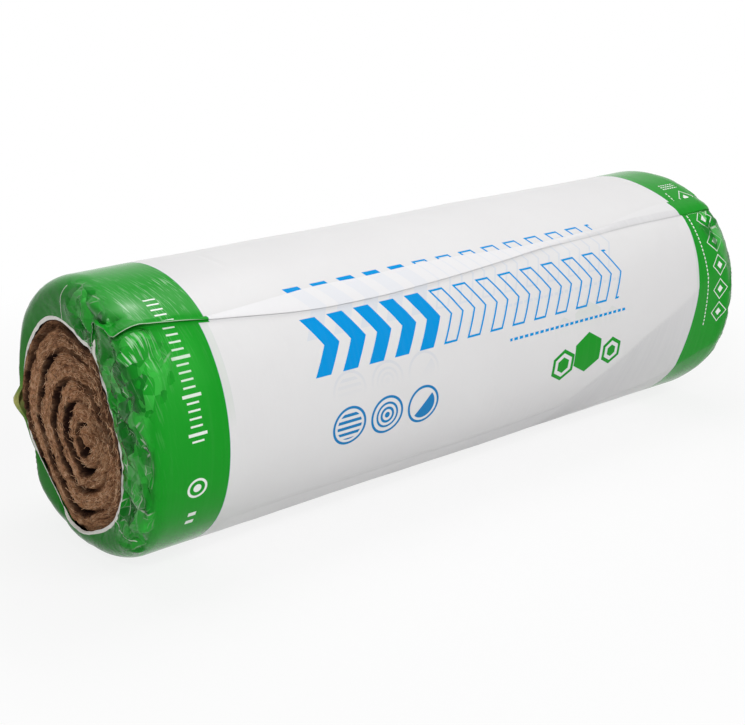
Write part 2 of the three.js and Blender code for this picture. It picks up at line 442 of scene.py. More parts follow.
def print_group(settings):
    """Node group that draws the print: colour and cover at a place along the roll and winding."""
    tree = bpy.data.node_groups.new("film_print", "ShaderNodeTree")
    for name, way, kind in (("Along", "INPUT", "Float"), ("Wound", "INPUT", "Float"),
                            ("Colour", "OUTPUT", "Color"), ("Cover", "OUTPUT", "Float")):
        tree.interface.new_socket(name, in_out=way, socket_type="NodeSocket" + kind)
    entry = tree.nodes.new("NodeGroupInput")
    leave = tree.nodes.new("NodeGroupOutput")
    along = Value(tree, entry.outputs["Along"])
    winding = Value(tree, entry.outputs["Wound"])
    turn = winding.wrapped(0, PRINT_REPEAT)

    # The bands, whose edges wander where the film was pulled.
    folded = winding.below(-0.001, 0.001)
    near_edge = winding * 0.0095 + folded * 0.0165 + BAND_NEAR
    far_edge = winding.bell(0, 0.17) * 0.042 + winding.bell(1.27, 0.085) * 0.032 + BAND_FAR
    far_edge = far_edge + winding.above(0.75, 0.3) * 0.008
    for angle, spread, shift in ((48 + 360, 0.10, 0.028), (262, 0.08, 0.020)):
        far_edge = far_edge + winding.bell(wound(angle), spread) * shift
    green = (along - near_edge).below(0, 0.001).highest((along - far_edge).above(0, 0.001))

    # A row of blue chevrons, solid on the left and in outline on the right.
    off_row = abs(turn - wound(152.6))
    slant = along + off_row * 0.62
    stripe = (slant + 0.31).wrapped(0, 0.0466)
    in_row = off_row.below(0.041)
    solid = stripe.below(0.0265) * in_row * slant.between(-0.3105, -0.0790)
    rim = stripe.below(0.0265) * in_row
    hollow = stripe.between(0.0036, 0.0229) * off_row.below(0.0378)
    outline = (rim - hollow).highest(0) * slant.between(-0.0790, 0.3045)
    dashes = (along + turn * 0.2).wrapped(0, 0.0112).below(0.0075)
    rule = abs(turn - wound(170.0)).below(0.0022) * along.between(0.03, 0.2925) * dashes
    blue = any_of(solid, outline, rule)

    # Three rings with plain fillings.
    rings = []
    for k, ring_along in enumerate((-0.281, -0.213, -0.145)):
        dx, dw = along - ring_along, turn - wound(187.5)
        away = distance(dx, dw)
        inside = away.below(0.0215)
        if k == 0:
            filling = inside * dw.wrapped(0, 0.0095).below(0.0048)
        elif k == 1:
            filling = any_of(away.between(0.0085, 0.0125), away.below(0.0045), away.between(0.0165, 0.0200))
        else:
            filling = inside * (dx + dw).above(0)
        rings.append(away.between(0.0255, 0.0295).highest(filling))
    rings = any_of(*rings)

    # Three green hexagons, the middle one filled.
    hexagons = []
    for hex_along, angle, reach in ((0.150, 189, 0.024), (0.205, 186, 0.030), (0.262, 188.5, 0.021)):
        dx, dw = abs(along - hex_along), abs(turn - wound(angle))
        away = dx.highest(dx * 0.5 + dw * 0.866)
        if len(hexagons) == 1:
            hexagons.append(away.below(reach))
        else:
            hexagons.append(away.between(reach - 0.006, reach).highest(away.below(reach - 0.012)))
    hexagons = any_of(*hexagons)

    # White marks on the bands: a measuring scale, discs and a column of lozenges.
    scale_on = turn.between(wound(131), wound(177.5))
    long_tick = turn.wrapped(0, 0.05).below(0.0042) * along.between(-0.542, -0.514)
    short_tick = turn.wrapped(0, 0.01).below(0.0026) * along.between(-0.5375, -0.5195)
    ticks = long_tick.highest(short_tick) * scale_on
    dx = along + 0.529
    away = distance(dx, turn - wound(195))
    disc = away.between(0.0115, 0.0150).highest(away.below(0.0060))
    bars = turn.between(wound(207), wound(209)).highest(turn.between(wound(211.5), wound(213.5)))
    small = abs(dx).below(0.006) * bars
    dx, dw = along + 0.524, turn - wound(118.6 + 360)
    plate = abs(dx).highest(abs(dw)).below(0.0125) * distance(dx, dw).above(0.0075)
    column_on = turn.between(wound(131), wound(191.5))
    step = (turn - wound(131)).wrapped(0, 0.0422) - 0.0211
    across = abs(along - 0.546) + abs(step)
    dashes = abs(along - 0.5105).below(0.0012) * turn.wrapped(0, 0.007).below(0.0045)
    column = any_of(across.between(0.0170, 0.0192), across.below(0.007), dashes) * column_on
    dots_on = turn.between(wound(470), PRINT_REPEAT) * along.between(0.516, 0.553)
    dots = turn.wrapped(0, 0.0060).below(0.0024) * along.wrapped(0, 0.0060).below(0.0040) * dots_on
    white = any_of(ticks, disc, small, plate, column, dots)

    colour = blend_colour(tree, rings, settings.blue, settings.deep_blue)
    colour = blend_colour(tree, green.highest(hexagons), colour, settings.green)
    colour = blend_colour(tree, white * green, colour, settings.white_ink)
    tree.links.new(colour, leave.inputs["Colour"])
    tree.links.new(any_of(green, blue, rings, hexagons).socket, leave.inputs["Cover"])
    return tree


def crumple(tree, place, size, seed):
    """Flat facets of crushed film: height in metres, a tone for each and the distance to its edge."""
    spot = node(tree, "ShaderNodeMapping", {
        "Vector": place, "Location": (seed, 0.37 * seed, 0),
        "Scale": (1 / size[0], 1 / size[1], 1)}).outputs[0]
    cell, bounds = (
        node(tree, "ShaderNodeTexVoronoi", {"Vector": spot, "Scale": 1.0},
             voronoi_dimensions="2D", feature=kind)
        for kind in ("F1", "DISTANCE_TO_EDGE"))
    lean = vector_math(tree, "SUBTRACT", cell.outputs["Color"], (0.5, 0.5, 0.5))
    away = vector_math(tree, "SUBTRACT", spot, cell.outputs["Position"])
    height = Value(tree, vector_math(tree, "DOT_PRODUCT", lean, away))
    tone = node(tree, "ShaderNodeSeparateColor", {0: cell.outputs["Color"]}).outputs[2]
    return height * min(size), Value(tree, tone), Value(tree, bounds.outputs["Distance"]) * min(size)


def film_material(settings):
    """Printed polyethylene: white film, inks, the ply below showing through, fine creases, and painted
    shade, glints and highlights.
    """
    material, tree, shader = new_material("printed_film")
    group = print_group(settings)
    places = []
    for uv_name in ("sheet", "ply_below"):
        uv = node(tree, "ShaderNodeUVMap", uv_map=uv_name)
        place = node(tree, "ShaderNodeSeparateXYZ", {0: uv.outputs[0]})
        ink = node(tree, "ShaderNodeGroup", node_tree=group)
        tree.links.new(place.outputs[0], ink.inputs["Along"])
        tree.links.new(place.outputs[1], ink.inputs["Wound"])
        places.append((place, ink))
    (place, top), (_, under) = places
    along, winding = Value(tree, place.outputs[0]), Value(tree, place.outputs[1])
    inked = Value(tree, top.outputs["Cover"])
    lapped, margin, folded, inward, crushed, nose, flank = (
        attribute_value(tree, key)
        for key in ("lapped", "margin", "folded", "inward", "crushed", "nose", "flank"))

    # Bare film, duller in clouds and in the fold, with the print of the ply below, and painted shade on the
    # flat below the long crease and on the far fold's front.
    solid = node(tree, "ShaderNodeTexCoord").outputs["Object"]
    cloud = noise_value(tree, solid, 7.0, 5.0, 0.6)
    white = blend_colour(tree, cloud, settings.white, settings.white_shade)
    white = blend_colour(tree, folded, white, settings.white_folded)
    ghost = Value(tree, under.outputs["Cover"]) * lapped * settings.show_through
    white = blend_colour(tree, ghost, white, under.outputs["Colour"])
    streak = noise_value(tree, scaled_place(tree, solid, (170.0, 7.0, 7.0)), 1.0, 4.0)
    # Painted shade, streaked, where the flank attribute is.
    dull = flank * (streak.rising(0.35, 2.2) * 0.5 + 0.5)
    white = blend_colour(tree, dull * 0.75, white, settings.painted_flank_shade)

    # Ink, worn thin in fine lines round the roll where the film has been stretched.
    thin = streak.rising(0.47, 0.9)
    printed = blend_colour(tree, inked * (thin * -0.035 + 1.0), white, top.outputs["Colour"])

    # The film's own edges under the outer ply, on the near and the lapped part of the ends.
    cuts = [
        abs(winding - at - (inward - 1.0) * lean).below(0.0008, 0.0004)
        for at, lean in ((wound(79 + 360), -0.040), (wound(235), 0.048))]
    cut = any_of(*cuts) * inward.above(0.30, 0.02)

    # Where the film is gathered over the ends it is darkened with painted shade, less where it is crushed.
    gathered = inward.above(0.32, 0.45) * (crushed * -0.8 + 0.8)
    printed = blend_colour(tree, gathered, printed, settings.end_painted_shade, "MULTIPLY")

    # Crushed film: painted shade on some facets and painted light on others, drawn at random for each
    # facet, and painted highlights along its creases.
    warp = node(tree, "ShaderNodeTexNoise", {"Vector": solid, "Scale": 22.0, "Detail": 1.0})
    warp = vector_math(tree, "SCALE", warp.outputs["Color"], 0.016)
    laid = node(tree, "ShaderNodeUVMap", uv_map="sheet").outputs[0]
    laid = vector_math(tree, "ADD", laid, warp)
    large_height, large_tone, large_edge = crumple(tree, laid, (0.025, 0.046), 3.0)
    small_height, small_tone, small_edge = crumple(tree, laid, (0.012, 0.022), 7.0)
    tone = large_tone * 0.65 + small_tone * 0.35
    # Painted shade on the darker facets and painted light on the lighter ones.
    shaded_facets = tone.falling(0.47, 9.0) * crushed
    printed = blend_colour(tree, shaded_facets * 0.85, printed, settings.painted_shade_green)
    bright = tone.rising(0.56, 9.0) * crushed
    printed = blend_colour(tree, bright * 0.75, printed, settings.painted_light_green)
    patchy = noise_value(tree, solid, 26.0, 2.0).rising(0.55, 12.0)
    # Painted highlights along some of the crushed film's creases, in the margin's colour.
    creases = large_edge.below(0.0008, 0.0009).highest(small_edge.below(0.0004, 0.0006) * 0.35)
    printed = blend_colour(tree, creases * patchy * crushed * settings.crease, printed, settings.margin)

    # Painted glints beside the lap, in fine slanting lines, and a painted sheen on the band below it.
    slanting = node(tree, "ShaderNodeCombineXYZ", {0: (along - winding * 0.14) * 420.0, 1: winding * 30.0})
    strokes = noise_value(tree, slanting.outputs[0], 1.0, 2.0).rising(0.54, 7.0)
    above_lap = winding.bell(wound(114.5 + 360), 0.026) * along.between(-0.575, -0.455, 0.012)
    patch = winding.bell(wound(120 + 360), 0.010) * along.bell(-0.560, 0.010)
    below_lap = winding.bell(wound(139), 0.020) * along.bell(-0.585, 0.016)
    above_lap = above_lap * (patchy * 0.45 + 0.25)
    marks = (above_lap + below_lap * 1.1) * strokes + patch * (strokes * 0.5 + 0.35)
    pale = winding.bell(wound(146), 0.045) * along.between(-0.578, -0.50, 0.02) * 0.28
    printed = blend_colour(tree, pale * inked, printed, settings.painted_light_green)
    printed = blend_colour(tree, marks.lowest(0.75) * inked, printed, settings.glare)

    # The near end's lip, painted lighter as light shining through it, the thin edges and the unprinted
    # margin.
    lip = winding.bell(wound(LIP + 360), 0.018) * inward.above(0.42, 0.3) * along.below(0)
    printed = blend_colour(tree, lip, printed, settings.lip)
    # The nose share paints a highlight along the fold's nose at the near end.
    for share in (cut * 0.75, nose * 0.5, margin.below(0.0, 0.0006)):
        printed = blend_colour(tree, share, printed, settings.margin)
    tree.links.new(printed, shader.inputs["Base Color"])

    gloss = inked * (settings.ink_roughness - settings.roughness) + settings.roughness
    tree.links.new(gloss.socket, shader.inputs["Roughness"])
    shader.inputs["Specular IOR Level"].default_value = 0.08
    swing = ((winding - wound(235)) * (0.5 / RADIUS)).math("COSINE")
    hoop = (streak - 0.5) * (abs(swing) * 0.8 + 0.2)
    height = noise_value(tree, solid, 55.0, 3.0, 0.6) * 0.5 + hoop * 0.8
    relief = node(tree, "ShaderNodeBump", {"Height": height, "Distance": 1 * MM, "Strength": 0.30})
    steps = (large_height * 0.8 + small_height * 0.6) * crushed
    steps = node(tree, "ShaderNodeBump", {
        "Height": steps, "Distance": 1.0, "Strength": 1.0, "Normal": relief.outputs[0]})
    tree.links.new(steps.outputs[0], shader.inputs["Normal"])
    return material


class WrapperSettings(bpy.types.PropertyGroup):
    """Sizes and colours of the printed film wrapper."""

    white: colour_setting("Film", "Colour of the unprinted film", (0.735, 0.73, 0.73))
    white_shade: colour_setting("Film, dull", "Colour of the duller parts of the film", (0.69, 0.68, 0.685))
    # Painted shade on the flat below the long crease and on the far fold's front.
    painted_flank_shade: colour_setting(
        "Film, flank", "Colour of the film on the flat below the long crease", (0.62, 0.615, 0.63))
    white_folded: colour_setting(
        "Film, folded", "Colour of the film where it lies three plies thick", (0.75, 0.745, 0.755))
    green: colour_setting("Bands", "Ink of the end bands", (0.006, 0.285, 0.014))
    blue: colour_setting("Marks", "Ink of the large marks", (0.0, 0.27, 0.66))
    deep_blue: colour_setting("Rings", "Ink of the rings", (0.010, 0.19, 0.46))
    white_ink: colour_setting("White marks", "Ink of the marks on the bands", (0.80, 0.83, 0.79))
    margin: colour_setting("Margin", "Unprinted edge of the film at the openings", (0.93, 0.91, 0.86))
    # Painted shade on the film over the ends.
    end_painted_shade: colour_setting("End tone", "Tint of the ink where the film is gathered", (0.62, 0.66, 0.60))
    # Painted light shining through the lip.
    lip: colour_setting("Lip", "Colour of the lip that light comes through", (0.56, 0.56, 0.18))
    # Painted shade and painted light on the crushed film's facets; the light one also paints the sheen on
    # the band below the lap.
    painted_shade_green: colour_setting(
        "Crushed, dark", "Ink of the crushed film where it lies double", (0.004, 0.16, 0.012))
    painted_light_green: colour_setting(
        "Crushed, light", "Ink of the crushed film where it is single", (0.045, 0.46, 0.055))
    # Colour of the painted glints beside the lap.
    glare: colour_setting(
        "Stretched ink", "Ink whitened where the film is stretched beside the lap", (0.60, 0.82, 0.60))
    # Strength of the painted highlights along the crushed film's creases.
    crease: factor_setting("Creases", "How white the creases of the crushed film are", 0.55)
    show_through: factor_setting("Show-through", "How much of the ply below shows", 0.10)
    roughness: factor_setting("Roughness", "Roughness of the bare film", 0.28)
    ink_roughness: factor_setting("Ink roughness", "Roughness of the printed film", 0.17)
    fold_height: length_setting("Fold height", "How far the fold stands off the roll", 6 * MM)
    tent: length_setting("Tent", "How much further the fold stands off at the near shoulder", 8 * MM)
    slack: length_setting("Slack", "How far the film stands off the mat round the lap", 2.6 * MM)
    crush: length_setting("Crush", "Height of the largest facets of the crushed film", 9 * MM)
    looseness: factor_setting(
        "Looseness", "How much longer the crushed film is than the mat's end under it", 0.03, 0.6)
    passes: IntProperty(
        name="Passes", description="Steps in which the loose film settles", default=240, min=0)


def sheet_rows():
    """Places along the sheet, from one cut edge to the other: close where the film is creased."""
    near, far = (np.linspace(0, END_REACH, count)[1:] for count in (78, 36))
    middle = [np.linspace(-BODY_END, -0.36, 66), np.linspace(-0.36, 0.43, 97)[1:],
              np.linspace(0.43, BODY_END, 28)[1:]]
    return np.concatenate([-(BODY_END + near)[::-1], *middle, BODY_END + far])


def sheet_columns(edge, nose, front, tent, height_share, settings):
    """The winding's columns at each row: angle, height, place in the winding, and 1 at the fold's nose.

    They run from the free edge down the fold to its nose, back under it, and then round the roll."""
    reach = nose - edge
    crest = settings.fold_height * height_share
    angle, height, place, at_nose = [], [], [], []

    def column(at, lift, sheet_place, nose_share=0):
        angle.append(np.broadcast_to(at, nose.shape))
        height.append(np.broadcast_to(lift, nose.shape))
        place.append(np.broadcast_to(sheet_place, nose.shape))
        at_nose.append(np.broadcast_to(nose_share, nose.shape))

    def tented(at):
        return tent * np.clip((at - nose + 18) / 17, 0, 1) ** 1.4

    start = -100 * MM      # the print's place at the free edge
    round_off = 0.6 * MM   # of the nose
    end = nose - 0.5
    peak = np.maximum(end - front, edge + 0.45 * reach)
    fallen = mix(1, 0.42, smooth(front, 0.8, 3))
    for t in np.linspace(0, 1, 11)[:-1]:
        at = mix(edge, peak, t)
        rise = crest * (0.25 * t + 0.75 * smooth(t, -0.2, 1.05))
        column(at, 2 * PLY + tented(at) + rise, start + RADIUS * np.radians(at - edge))
    for t in np.linspace(0, 1, 7)[:-1]:
        at = mix(peak, end, t)
        rise = crest * mix(1, fallen, t * t)
        column(at, 2 * PLY + tented(at) + rise, start + RADIUS * np.radians(at - edge))
    top = 2 * PLY + tented(end) + crest * fallen
    for turn in np.radians((70, 35, 0, -35, -70)):
        across = np.degrees(round_off * np.cos(turn) / RADIUS)
        lift = top - round_off + round_off * np.sin(turn)
        column(end + across, lift, start + RADIUS * np.radians(reach), 1)
    back = 0.62 * reach
    for t in np.linspace(0, 1, 5)[1:]:
        column(end - back * t, mix(top - 2 * round_off, 2 * PLY + tented(end - back), t**0.6), start + 0.04)
    for t in np.linspace(0, 1, 5):
        at = end - back * (1 - t)
        column(at, 1.5 * PLY + tented(at) * (1 - smooth(t, 0.2, 1)), start + 0.05)
    for share in np.linspace(0, 1, 54)[1:]:
        at = mix(nose + 0.2, 180, share**1.15)
        column(at, 1.6 * PLY, RADIUS * np.radians(at - LAP_START))
    coarse = (
        (180, 262, 90), (262, 420, 66), (420, 460, 24), (460, 484, 20), (484, 502, 12),
        (502, WINDING_END, 6))
    for low, high, count in coarse:
        for at in np.linspace(low, high, count + 1)[1:]:
            lift = PLY * (0.6 + 1.0 * (1 - smooth(at, INNER_END, INNER_END + 12)))
            if at > 400:
                lift = lift + tented(at - 360) * (1 - smooth(at - 360, nose - 4, nose - 1))
            column(at, lift, RADIUS * math.radians(at - LAP_START))
    return [np.stack(part, 1) for part in (angle, height, place, at_nose)]


def crushed_share(angle, inward):
    """1 where the film is loose and crushed, under the lap, and 0 where it has drawn tight."""
    off = turned(angle, CRUSHED_SIDE)
    reach_out = mix(0.10, -0.30, bump_at(off, -42, 26))
    return window(off, -102, -78, 36, 56) * smooth(inward, reach_out, reach_out + 0.14)


def roll_profile(angle, inward, side):
    """The roll's plain form: axial and radial place, normal, and distance to the cut edge."""
    base = RADIUS - FILM_INSET - 3.6 * MM * bump_at(turned(angle, 68), 0, 75)
    opening, length, dish = (end_value(key, angle, side) for key in ("opening", "length", "dish"))
    drop = np.minimum(end_value("drop", angle, side), base - opening - 1.5 * MM)
    reach = base - drop - opening
    straight = np.where(side < 0, round_table(STRAIGHTNESS, angle), 0)
    over = mix(math.pi / 2**1.5, 1, straight) * np.hypot(length, drop)
    turn_share = over / (over + reach)
    along_turn = np.clip(inward / turn_share, 0, 1)
    turn = np.radians(90 * along_turn)
    face = np.clip((inward - turn_share) / (1 - turn_share), 0, 1)
    axial = ROLL_END - length * (1 - mix(np.sin(turn), along_turn, straight)) - dish * face**1.5
    body = BODY_END + inward * END_REACH + (ROLL_END - length - BODY_END) * smooth(inward, -1.1, 0)
    axial = np.where(inward > 0, axial, body)
    radial = base - drop * mix(1 - np.cos(turn), along_turn, straight) - reach * face
    leaning = straight * smooth(inward, -0.05, 0.05)
    on_face = inward > turn_share
    normal_axial = np.where(on_face, reach, drop * mix(np.sin(turn), 0.64, leaning))
    normal_radial = np.where(on_face, 1.5 * dish * np.sqrt(face), length * mix(np.cos(turn), 0.64, leaning))
    size = np.hypot(normal_axial, normal_radial)
    return axial, radial, normal_axial / size, normal_radial / size, (1 - inward) * (over + reach)


def roll_surface(angle, inward, side):
    """Points and outward normals of the roll's plain form at one end."""
    axial, radial, normal_axial, normal_radial, _ = roll_profile(angle, inward, side)
    cos, sin = np.cos(np.radians(angle)), np.sin(np.radians(angle))
    return (np.stack([side * axial, radial * cos, radial * sin], -1),
            np.stack([side * normal_axial, normal_radial * cos, normal_radial * sin], -1))


# The springs of the film's net: rows down, columns across and stiffness.
SPRINGS = ((0, 1, 1.0), (1, 0, 1.0), (1, 1, 0.6), (1, -1, 0.6), (0, 4, 0.10), (4, 0, 0.10))
SPRING_STEP = 0.30
SPRING_DAMPING = 0.86


def settled_film(side, settings):
    """One end of the film, too long and too wide for the mat's end, relaxed onto it until it buckles.

    Returns the angles, the shares of the way in and the points of a grid whose columns wrap round."""
    angle = np.arange(0, 360, 0.75)
    inward = np.concatenate([np.linspace(-0.36, 0, 17)[:-1], np.linspace(0, 1, 47)])
    around, into = np.meshgrid(angle, inward)
    plain, normal = roll_surface(around, into, side)
    loose = crushed_share(around, into)

    # How much wider and longer than the mat's end the film is, and the small waves from which it buckles.
    slack = settings.looseness * loose * (1 if side < 0 else 0.45)
    middle = smooth(into, -0.3, 0.35) * (1 - 0.75 * smooth(into, 0.82, 1.0))
    wide = 1 + slack * middle + 0.02 * middle * smooth(into, 0.1, 0.5)
    long = 1 + 0.45 * slack
    slanting = np.sin(np.radians(around) * 15 + 7 * into + 2.5 * perlin(plain, 0.07, 43))
    start_height = 2 * MM * perlin(plain, 0.030, 41 + side) + 1 * MM * slanting
    points = plain + normal * (start_height * (0.1 + loose) * middle)[..., None]

    # The springs' rest lengths.
    def apart(p, down, across):
        return np.roll(p, -across, 1)[down:] - p[:len(p) - down]

    links = []
    for down, across, give in SPRINGS:
        rest = np.linalg.norm(apart(plain, down, across), axis=-1)
        rows = slice(0, len(plain) - down)
        grow_across, grow_down = wide[rows], long[rows]
        if down and across:
            step = np.linalg.norm(apart(plain, 0, 1), axis=-1)[rows] * grow_across
            rest = np.sqrt(np.maximum(rest**2 - (step / grow_across) ** 2, 1e-12) * grow_down**2 + step**2)
        else:
            rest = rest * (grow_down if down else grow_across)
        links.append((down, across, give, rest))

    # The body's end and the opening's uneven edge are held, and the rest moves between two limits.
    held = ((into <= -0.33) | (into >= 1.0))[..., None]
    start = points.copy()
    start[-1] = plain[-1] + normal[-1] * (1.2 * MM * perlin(plain[-1], 0.012, 44))[..., None]
    start[-1, :, 1:] *= (1 + (0.006 + 0.016 * loose[-1]) * perlin(plain[-1], 0.016, 45))[..., None]
    points[-1] = start[-1]
    motion = np.zeros_like(points)
    sunk = 10 * MM * loose * smooth(into, 0.15, 0.5) * (1 - 0.7 * smooth(into, 0.85, 1))
    highest = 2 * MM if side < 0 else 0.5 * MM
    highest = highest + 5 * MM * smooth(into, 0.2, 0.45) * (1 if side < 0 else 0.4)
    for _ in range(settings.passes):
        shift = np.zeros_like(points)
        for down, across, give, rest in links:
            gap = apart(points, down, across)
            size = np.linalg.norm(gap, axis=-1)
            pull = gap * (give * 0.5 * (1 - rest / size))[..., None]
            shift[:len(points) - down] += pull
            shift[down:] -= np.roll(pull, across, 1)
        motion = SPRING_DAMPING * motion + SPRING_STEP * shift
        points = np.where(held, start, points + motion)
        height = ((points - plain) * normal).sum(-1)
        out = np.clip(height, -0.5 * MM - sunk, highest) - height
        points += normal * out[..., None]
    return angle, inward, points


def read_grid(grid, angle, inward, at_angle, at_inward):
    """The grid's value at other angles and shares, straight between its points."""
    step = angle[1] - angle[0]
    place = (at_angle % 360) / step
    i = np.floor(place).astype(int)
    across = (place - i)[..., None]
    j = np.clip(np.searchsorted(inward, at_inward) - 1, 0, len(inward) - 2)
    down = np.clip((at_inward - inward[j]) / (inward[j + 1] - inward[j]), 0, 1)[..., None]
    i, k = i % len(angle), (i + 1) % len(angle)
    top = grid[j, i] * (1 - across) + grid[j, k] * across
    low = grid[j + 1, i] * (1 - across) + grid[j + 1, k] * across
    return top * (1 - down) + low * down


def film_relief(angle, along, inward, points, settings):
    """How far the film stands off its plain form at each point: slack, creases and hoops."""
    lap = bump_at(turned(angle, LAP_SIDE), 0, 40) * (1 - smooth(inward, 0.0, 0.5))
    body = 1 - smooth(inward, -0.1, 0.5)
    total = settings.slack * lap
    total += body * (1.1 * MM * perlin(points, 0.12, 1) + 0.45 * MM * perlin(points, 0.045, 2))

    # Facets and creases of the crushed film.
    loose = crushed_share(angle, inward) * np.where(along < 0, 1, 0.3)
    calm = 1 - 0.75 * smooth(inward, 0.80, 0.97)
    some = loose > 0.01
    off = turned(angle, CRUSHED_SIDE)[some]
    large = facets(off, inward[some], 9.5, 0.24, 5)
    small = facets(off, inward[some], 5.0, 0.13, 6)
    total[some] += (loose * calm)[some] * settings.crush * (large + 0.22 * small)

    # The long crease low on the lapped side, and the flatter flank below it.
    crease = curve_through(FLANK_CREASE, along / HALF_LENGTH)
    facet = curve_through(FLANK_WIDTH, along / HALF_LENGTH)
    off = np.clip(turned(angle, crease) / facet, 0, 1)
    chord = np.cos(np.radians(facet / 2)) / np.cos(np.radians(facet * (off - 0.5))) - 1
    flank = (1 - smooth(inward, -0.1, 0.25)) * smooth(along, -0.52, -0.36)
    flank = flank * mix(1, 0.5, smooth(along, 0.34, 0.47))
    total += 0.9 * RADIUS * chord * flank
    total -= 1.2 * MM * flank * bump_at(turned(angle, crease + 0.8), 0, 1.6)

    # A faint crease round the near part of the body, from the top to the fold, and wrinkles where it ends.
    around = angle % 360
    hoop_at = -0.385 + 5 * MM * np.sin(np.radians(angle * 7))
    total -= 1.0 * MM * bump_at(along, hoop_at, 5 * MM) * window(around, 86, 96, 112, 124)
    fan = np.sin((along + 0.0035 * (around - 120)) / (2.6 * MM)) * bump_at(along, -0.392, 32 * MM)
    total += 0.5 * MM * fan * window(around, 112, 120, 126, 131) * (along < -0.36)

    # Fine wrinkles in the slack below the fold.
    nose_at = curve_through(FOLD_PATH, along / HALF_LENGTH)
    below = turned(angle, nose_at)
    pinched = window(below, 0.5, 3, 7, 16) * body
    total += 0.5 * MM * pinched * perlin(points * (1.0, 0.6, 0.6), 0.008, 6)
    total += 0.9 * MM * pinched * perlin(points * (1.0, 0.35, 0.35), 0.020, 7)

    # At the near shoulder the slack film puffs up under the fold.
    puffed = smooth(-along, 0.46, 0.56) * (1 - smooth(inward, 0.25, 0.55))
    total += 6.5 * MM * puffed * window(below, -3, 0, 1, 20)

    # Hoops where the film is drawn tight over the near shoulder.
    sway = along + 3 * MM * perlin(points, 0.06, 3) + 0.05 * np.radians(turned(angle, 110))
    uneven = 0.5 + 0.6 * perlin(points * (1, 0.25, 0.25), 0.010, 4)
    hoops = (1 - 2 * np.abs(np.sin(sway / (3.3 * MM)))) * uneven
    total += 0.6 * MM * hoops * bump_at(turned(angle, HOOPS), 0, 20) * bump_at(along, -0.515, 0.075)

    # The near end's lip on the far side of its opening.
    total += 18.5 * MM * bump_at(turned(angle, LIP), 0, 10) * bump_at(inward, 0.80, 0.45) * (along < 0)
    return total


def wrapper_sheet(settings):
    """The wrapper as one sheet: its points, sheet coordinates and attributes."""
    rows = sheet_rows()
    at = rows / HALF_LENGTH
    nose = curve_through(FOLD_PATH, at)
    edge = np.minimum(curve_through(FREE_EDGE, np.clip(at, -1, 1)), nose - NARROWEST_FOLD)
    tent = settings.tent * window(-rows, 0.45, 0.568, 0.574, 0.596)
    front = curve_through(FOLD_FRONT, np.clip(at, -1, 1))
    height_share = mix(0.5, 0.42, smooth(rows, -0.50, -0.45))
    angle, height, place, at_nose = sheet_columns(edge, nose, front, tent, height_share, settings)
    along = np.broadcast_to(rows[:, None], angle.shape)
    inward = (np.abs(along) - BODY_END) / END_REACH
    side = np.sign(along)
    plain, normal = roll_surface(angle, inward, side)
    points = plain.copy()
    for end in (-1, 1):
        part = (side == end) & (inward > -0.35)
        grid_angle, grid_inward, grid = settled_film(end, settings)
        points[part] = read_grid(grid, grid_angle, grid_inward, angle[part], inward[part])
    relief = film_relief(angle, along, inward, plain, settings)
    spread = 1 - smooth(inward, 0.40, 0.50)
    lift = 0.3 * MM + relief + np.minimum(height, 2 * MM) + np.maximum(height - 2 * MM, 0) * spread
    points = points + normal * lift[..., None]
    points[..., 2] += AXIS_Z

    # Where each point lies on the flat sheet, and on the ply below it.
    to_shoulder = roll_profile(angle, np.minimum(inward, 0), side)[0]
    over_end = roll_profile(angle, 0 * inward, side)[4]
    printed = side * (to_shoulder + np.maximum(inward, 0) * over_end)
    sheet = np.stack([printed, place], -1)
    below = np.stack([printed, RADIUS * np.radians(angle + 360 - LAP_START)], -1)

    lapped = np.where(place > 0, 1 - smooth(angle, INNER_END - 14, INNER_END), 0.5)
    crease = turned(angle, curve_through(FLANK_CREASE, at)[:, None])
    # The flank attribute is painted shade: on the flat below the long crease, and on the fold's front slope
    # at the far end.
    flank = window(crease, -0.4, 0.8, 22, 50) * smooth(along, -0.5, 0.35) * (inward < 0.3)
    slope = smooth(angle - (nose - front)[:, None], -0.7, -0.2) * (place < 0) * smooth(along, 0.20, 0.36)
    return points, {"sheet": sheet, "ply_below": below}, {
        "lapped": lapped * np.where(inward > 0, 0.3, 1),
        "margin": roll_profile(angle, np.maximum(inward, 0), side)[4] - margin_width(angle, side),
        "folded": np.where(place < 0, mix(1.0, 0.25, smooth(along, 0.05, 0.3)), 0.0),
        "inward": inward,
        "crushed": crushed_share(angle, inward) * np.where(place > 0, 1, 0),
        # Painted highlight along the fold's nose at the near end.
        "nose": at_nose * smooth(-along, 0.46, 0.50),
        "flank": np.maximum(flank, 0.9 * slope)}


def margin_width(angle, side):
    """Width of the unprinted edge that shows at the opening, with a torn tip at the near end."""
    torn = 30 * np.maximum(1 - np.abs(turned(angle, TORN_TIP)) / 1.9, 0)
    return np.where(side < 0, round_table(MARGIN, angle) + torn, FAR_MARGIN) * MM


class ROLL_OT_wrapper(bpy.types.Operator):
    """Make the printed film wrapper with its lap, fold and gathered ends"""

    bl_idname = "roll.wrapper"
    bl_label = "Film Wrapper"

    def execute(self, context):
        settings = context.scene.roll_wrapper
        points, uvs, attributes = wrapper_sheet(settings)
        piece = mesh_object("film_wrapper", points, film_material(settings), uvs=uvs, attributes=attributes)
        piece.data.flip_normals()
        finish_piece(piece, "film", "film_wrap")
        return {"FINISHED"}


# ---------------------------------------------------------------- wool


